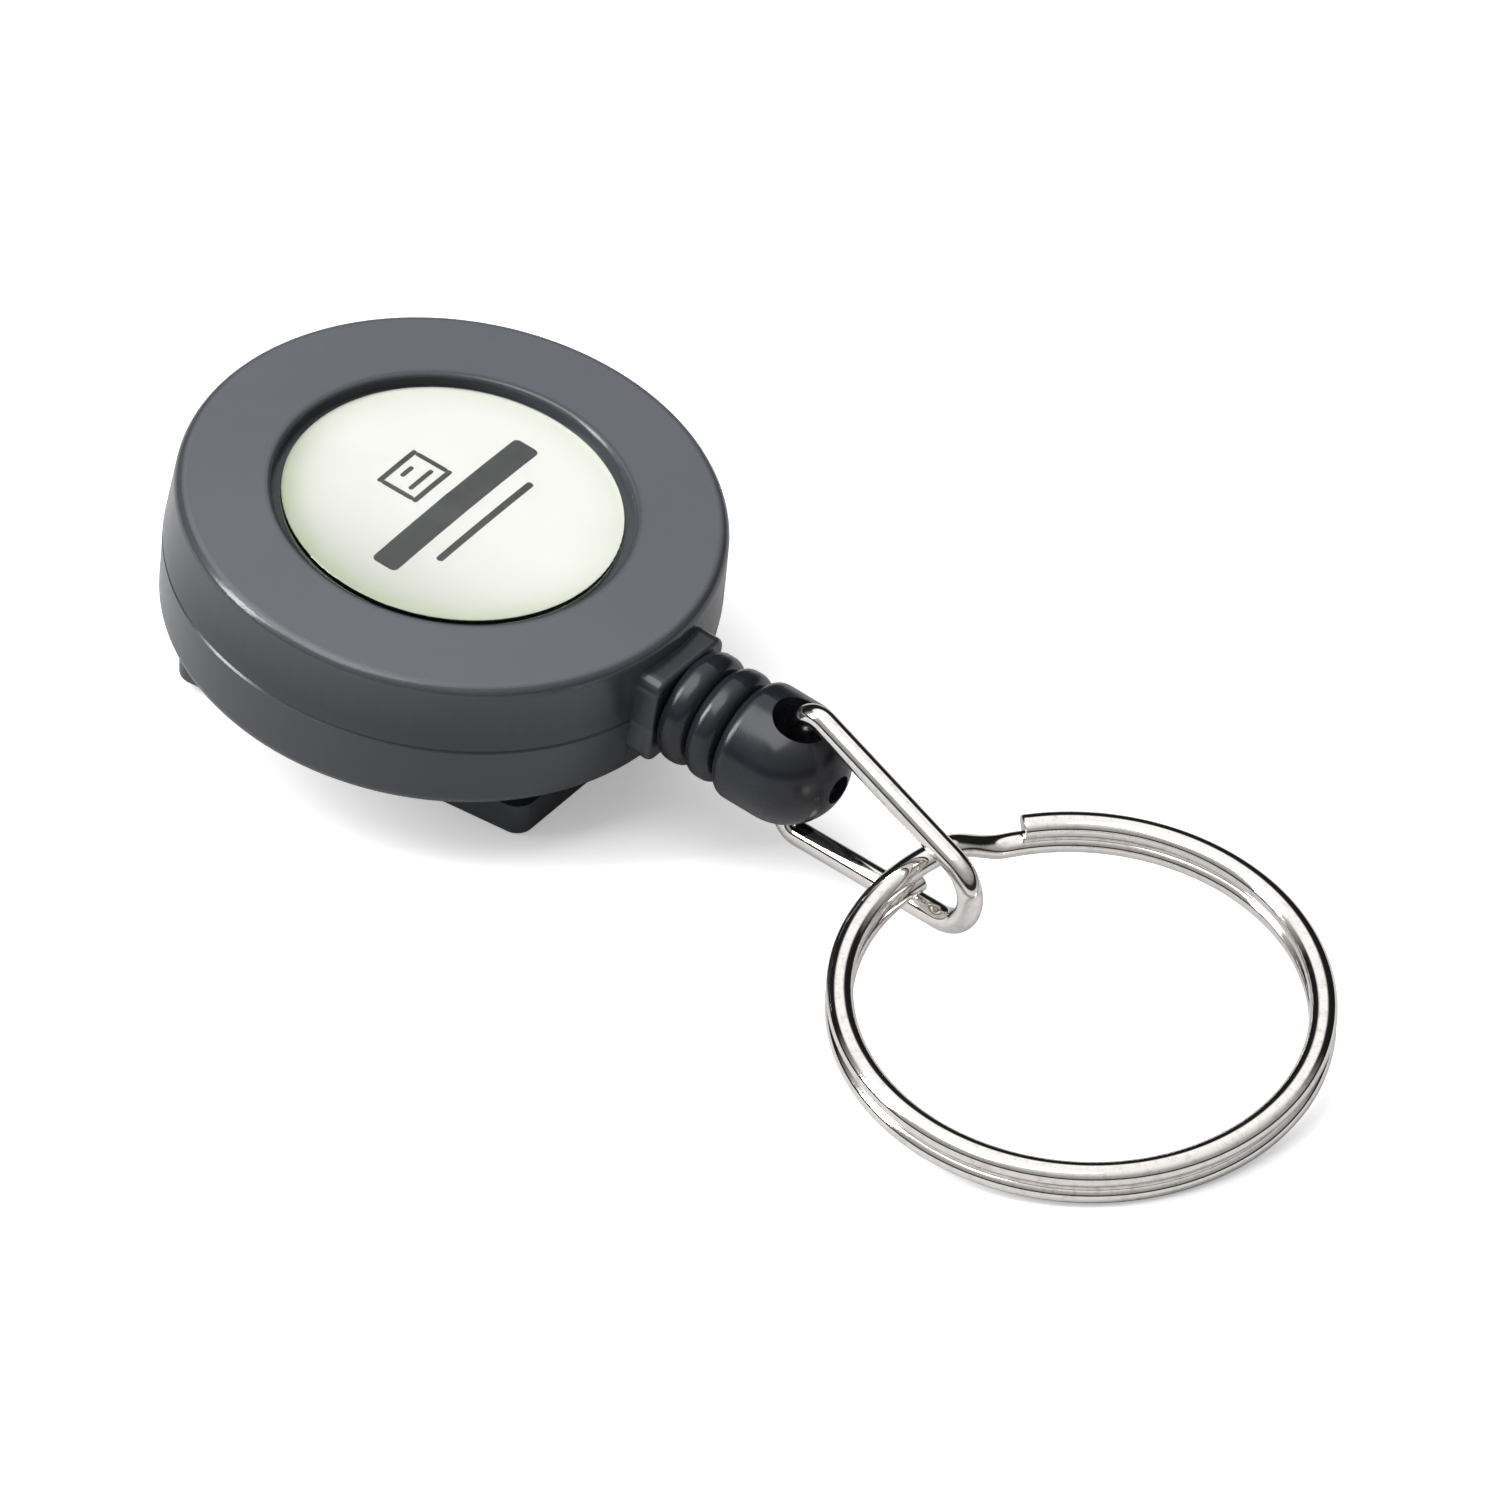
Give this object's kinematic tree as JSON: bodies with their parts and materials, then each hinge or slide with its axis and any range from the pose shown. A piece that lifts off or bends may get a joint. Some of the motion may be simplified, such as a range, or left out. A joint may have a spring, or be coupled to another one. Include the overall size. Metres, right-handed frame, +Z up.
{
  "type": "retractable badge reel",
  "caption": "Round retractable badge reel lying front up: sprung cord spool in a two-shell case, bead, wire link and split ring on the cord, and a sprung clip lever on the back.",
  "frame": {"origin": "bottom centre of the whole object's box, on the surface it lies on", "axes": "+Z up, +X along the way the cord leaves the case, as seen from above; the case leans down towards +X by about 9 degrees on its clip lever"},
  "size_m": [0.079, 0.035, 0.0184],
  "materials": {
    "front_shell": "satin, fine texture",
    "rear_shell": "semi gloss",
    "lever_plastic": "semi gloss",
    "bead_plastic": "gloss",
    "label_print": "silvery white print",
    "clear_resin": "clear, polished",
    "spool_plastic": "moulded, natural",
    "spring_steel": "drawn wire and rolled strip",
    "dull_steel": "zinc plated, dull",
    "cord_braid": "tight round braid",
    "nickel_wire": "bright nickel",
    "nickel_ring": "bright nickel"
  },
  "bodies": {
    "case": {"front_shell": "front_shell", "rear_shell": "rear_shell", "centre_screw": "dull_steel", "label_print": "label_print", "label_dome": "clear_resin", "clip_pin": "dull_steel", "clip_spring": "spring_steel", "cord_lead": "cord_braid", "power_spring": "spring_steel"},
    "spool": {"spool": "spool_plastic", "spring_cover": "spool_plastic", "cord_winding": "cord_braid", "cord_anchor_knot": "cord_braid"},
    "clip_lever": {"clip_lever": "lever_plastic"},
    "cord_end": {"cord_end_knot": "cord_braid"},
    "bead": {"bead": "bead_plastic"},
    "link": {"wire_link": "nickel_wire"},
    "ring": {"split_ring": "nickel_ring"}
  },
  "joints": [
    {"name": "cord_pull", "type": "slide", "parent": "case", "child": "cord_end", "axis": [1, 0, 0], "range_m": [0, 0.8], "stiffness_N_per_m": 1, "springref_m": -0.7, "deforming": ["cord_lead"]},
    {"name": "spool_spin", "type": "hinge", "parent": "case", "child": "spool", "pos_m": [-0.02314, 0.00127, 0.01141], "axis": [0.157, 0, 0.9876], "range_deg": [-4210, 0], "deforming": ["power_spring"]},
    {"name": "bead_twist", "type": "hinge", "parent": "cord_end", "child": "bead", "pos_m": [-0.00066, 0.00127, 0.00824], "axis": [0.9876, 0, -0.157], "continuous": true},
    {"name": "link_swing", "type": "hinge", "parent": "bead", "child": "link", "pos_m": [0.00171, 0.00127, 0.00787], "axis": [0.157, 0, 0.9876], "range_deg": [-82, 98]},
    {"name": "ring_swing", "type": "hinge", "parent": "link", "child": "ring", "pos_m": [0.01159, -0.00015, 0.00545], "axis": [-0.2123, -0.9749, -0.0668], "range_deg": [-90, 100]},
    {"name": "clip_pivot", "type": "hinge", "parent": "case", "child": "clip_lever", "pos_m": [-0.02854, 0.00127, 0.00549], "axis": [0, 1, 0], "range_deg": [0, 28], "stiffness_Nm_per_rad": 0.002, "springref_deg": -34.38, "deforming": ["clip_spring"]}
  ],
  "couplings": [
    {"joint": "spool_spin", "follows": "cord_pull", "rad_per_m": -91.743}
  ]
}
